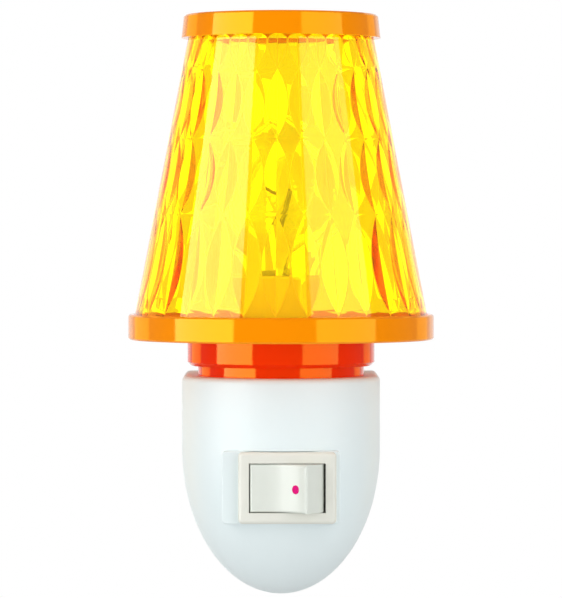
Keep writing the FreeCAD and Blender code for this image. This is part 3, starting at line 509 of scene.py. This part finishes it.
# Bulb cap: a screw shell of nickel plated brass cemented to the glass, with black glass
# below it that insulates the blob of solder at the tip.
nickel = metal("nickel", (0.70, 0.67, 0.61), 0.22, 0.1, 0.85)
dress(nickel, "bulb_shell")
dress(moulded("black_glass", (0.012, 0.012, 0.014), 0.12, 0.5, 0.2, 0.05), "bulb_insulator")
dress(metal("solder", (0.55, 0.56, 0.58), 0.4, 0.05, 0.7), "bulb_tip")

# Leads and filament: two nickel wires melted into the stem, with the tungsten filament
# pinched between their ends.
dress(metal("lead_wire", (0.45, 0.42, 0.38), 0.35, 0.1, 0.6), "bulb_leads")
dress(metal("tungsten", (0.30, 0.30, 0.32), 0.45, 0.1, 0.7), "filament")

# Housing: front shell and rear cover, moulded in white plastic with a soft sheen and held
# together by three screws from behind.
housing_plastic = moulded("housing_plastic", (0.77, 0.86, 0.87), 0.4, 0.25, 0.008, 0.12)
dress(housing_plastic, "front_shell", "rear_cover")

# Plug blades: punched from brass strip and nickel plated, one wider than the other. Each goes
# through the rear cover's block and is bent over behind it.
dress(nickel, "live_blade", "neutral_blade")

# Switch: an ivory nylon case with its bezel, an ivory rocker, and a nylon plunger that the
# rocker carries over the contact lever.
case_nylon = moulded("case_nylon", (0.75, 0.76, 0.69), 0.38, 0.35, 0.012, 0.15)
rocker_nylon = moulded("rocker_nylon", (0.72, 0.76, 0.70), 0.3, 0.35, 0.012, 0.12)
plunger_nylon = moulded("plunger_nylon", (0.70, 0.68, 0.60), 0.5, 0.4, 0.03, 0.1)
dress(case_nylon, "switch_body")
dress(rocker_nylon, "rocker")
dress(plunger_nylon, "plunger")


# Mark: a round spot of magenta ink, pad printed on the rocker's dished face near its raised
# end. It is 2 mm wide and as thick as a coat of paint.
def printed_spot(rings, spokes):
    """A disc bent onto the dish: a point at polar place (r, t) lies r*cos(t) along the dish's
    arc and r*sin(t) up from the spot's middle, and the ink stands out by spot_thick*(1-r^4)."""
    share = np.linspace(0, 1, rings + 1)[1:, None]
    turn = np.linspace(0, 2 * math.pi, spokes, endpoint=False)[None]
    along = np.concatenate([[0], (spot_radius * share * np.cos(turn)).ravel()])
    up = np.concatenate([[0], (spot_radius * share * np.sin(turn)).ravel()])
    stand = np.concatenate([[1], (1 - share ** 4 + 0 * turn).ravel()]) * spot_thick
    layers = []
    for off in (stand, 0 * stand - spot_sunk):
        angle = spot_angle + along / dish_radius
        reach = dish_radius - off
        out = dish_bottom + dish_radius - reach * np.cos(angle)
        side = reach * np.sin(angle)
        tilt = math.radians(-rocker_tilt)
        x = rocker_pivot[0] + out * math.sin(tilt) + side * math.cos(tilt)
        y = rocker_pivot[1] - out * math.cos(tilt) + side * math.sin(tilt)
        layers.append(np.stack([x, y, rocker_pivot[2] + spot_rise + up], -1))
    here = np.arange(spokes)
    ahead = (here + 1) % spokes
    count = rings * spokes + 1
    faces = []
    for start, way in ((0, 1), (count, -1)):
        fan = np.stack([np.full(spokes, start), start + 1 + here, start + 1 + ahead], -1)
        faces += fan[:, ::way].tolist()
        for low in start + 1 + spokes * np.arange(rings - 1):
            high = low + spokes
            quads = np.stack([low + here, high + here, high + ahead, low + ahead], -1)
            faces += quads[:, ::way].tolist()
    rim = 1 + (rings - 1) * spokes
    faces += np.stack([rim + here, count + rim + here, count + rim + ahead, rim + ahead], -1).tolist()
    return np.concatenate(layers), faces


rocker_pivot = (0.00135, -0.05435, -0.00035)
rocker_tilt = 21.0              # degrees from the middle at rest
dish_radius = 0.0108            # of the rocker's hollow face
dish_bottom = 0.00355           # pivot to the hollow's lowest line
spot_radius = 0.0010
spot_angle = math.radians(18.7) # place along the hollow's arc
spot_rise = -0.00015
spot_thick = 0.00003
spot_sunk = 0.00004             # the underside lies this far in the rocker
spot = link_mesh("rocker_spot", *printed_spot(8, 48))
spot.data.materials.append(moulded("magenta_ink", (0.74, 0.002, 0.19), 0.6, 0.05, 0.06, 0.2))
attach(spot, "rocker")

# Wires: stranded copper in plastic insulation, black for live and switched, white for
# neutral, soldered to blades, switch and lamp holder.
black_insulation = moulded("black_insulation", (0.02, 0.02, 0.021), 0.45, 0.4, 0.15, 0.2)
white_insulation = moulded("white_insulation", (0.72, 0.72, 0.69), 0.45, 0.4, 0.04, 0.2)
dress(black_insulation, "live_wire", "switched_wire")
dress(white_insulation, "neutral_wire")


# Stage: a round white floor below the lamp and an upright white backdrop behind it. Neither
# is part of the object.
def stage_white(name, shown, reflected):
    """Matt white. By the shares given, the camera sees plain white mixed into it, and gloss and
    clear plastic do too."""
    material = bpy.data.materials.new(name)
    material.use_nodes = True
    tree = material.node_tree
    shader = tree.nodes["Principled BSDF"]
    shader.inputs["Base Color"].default_value = (0.75, 0.75, 0.75, 1)
    shader.inputs["Roughness"].default_value = 0.9
    path = tree.nodes.new("ShaderNodeLightPath")
    white = tree.nodes.new("ShaderNodeEmission")
    mix = tree.nodes.new("ShaderNodeMixShader")
    bounced = tree.nodes.new("ShaderNodeMath")
    bounced.operation = "MAXIMUM"
    weaker = tree.nodes.new("ShaderNodeMath")
    weaker.operation = "MULTIPLY"
    weaker.inputs[1].default_value = reflected
    share = tree.nodes.new("ShaderNodeMath")
    share.operation = "MULTIPLY_ADD"
    share.inputs[1].default_value = shown
    tree.links.new(path.outputs["Is Glossy Ray"], bounced.inputs[0])
    tree.links.new(path.outputs["Is Transmission Ray"], bounced.inputs[1])
    tree.links.new(bounced.outputs[0], weaker.inputs[0])
    tree.links.new(path.outputs["Is Camera Ray"], share.inputs[0])
    tree.links.new(weaker.outputs[0], share.inputs[2])
    tree.links.new(share.outputs[0], mix.inputs["Fac"])
    tree.links.new(shader.outputs[0], mix.inputs[1])
    tree.links.new(white.outputs[0], mix.inputs[2])
    tree.links.new(mix.outputs[0], tree.nodes["Material Output"].inputs["Surface"])
    return material


floor_z = -0.35
floor_radius = 1.1
backdrop_y = lamp_y + 1.45
backdrop_half = 0.8
backdrop_top = 1.2
turn = np.linspace(0, 2 * math.pi, 97)[:-1]
disc = np.stack([floor_radius * np.cos(turn), lamp_y + floor_radius * np.sin(turn),
                 floor_z + 0 * turn], -1)
floor = link_mesh("floor", disc, [list(range(len(turn)))])
floor.data.materials.append(stage_white("floor_white", 0.6, 0.4))
sheet = [(side * backdrop_half, backdrop_y, height)
         for side, height in ((-1, floor_z), (1, floor_z), (1, backdrop_top), (-1, backdrop_top))]
backdrop = link_mesh("backdrop", sheet, [(0, 1, 2, 3)])
backdrop.data.materials.append(stage_white("backdrop_white", 1.0, 1.0))
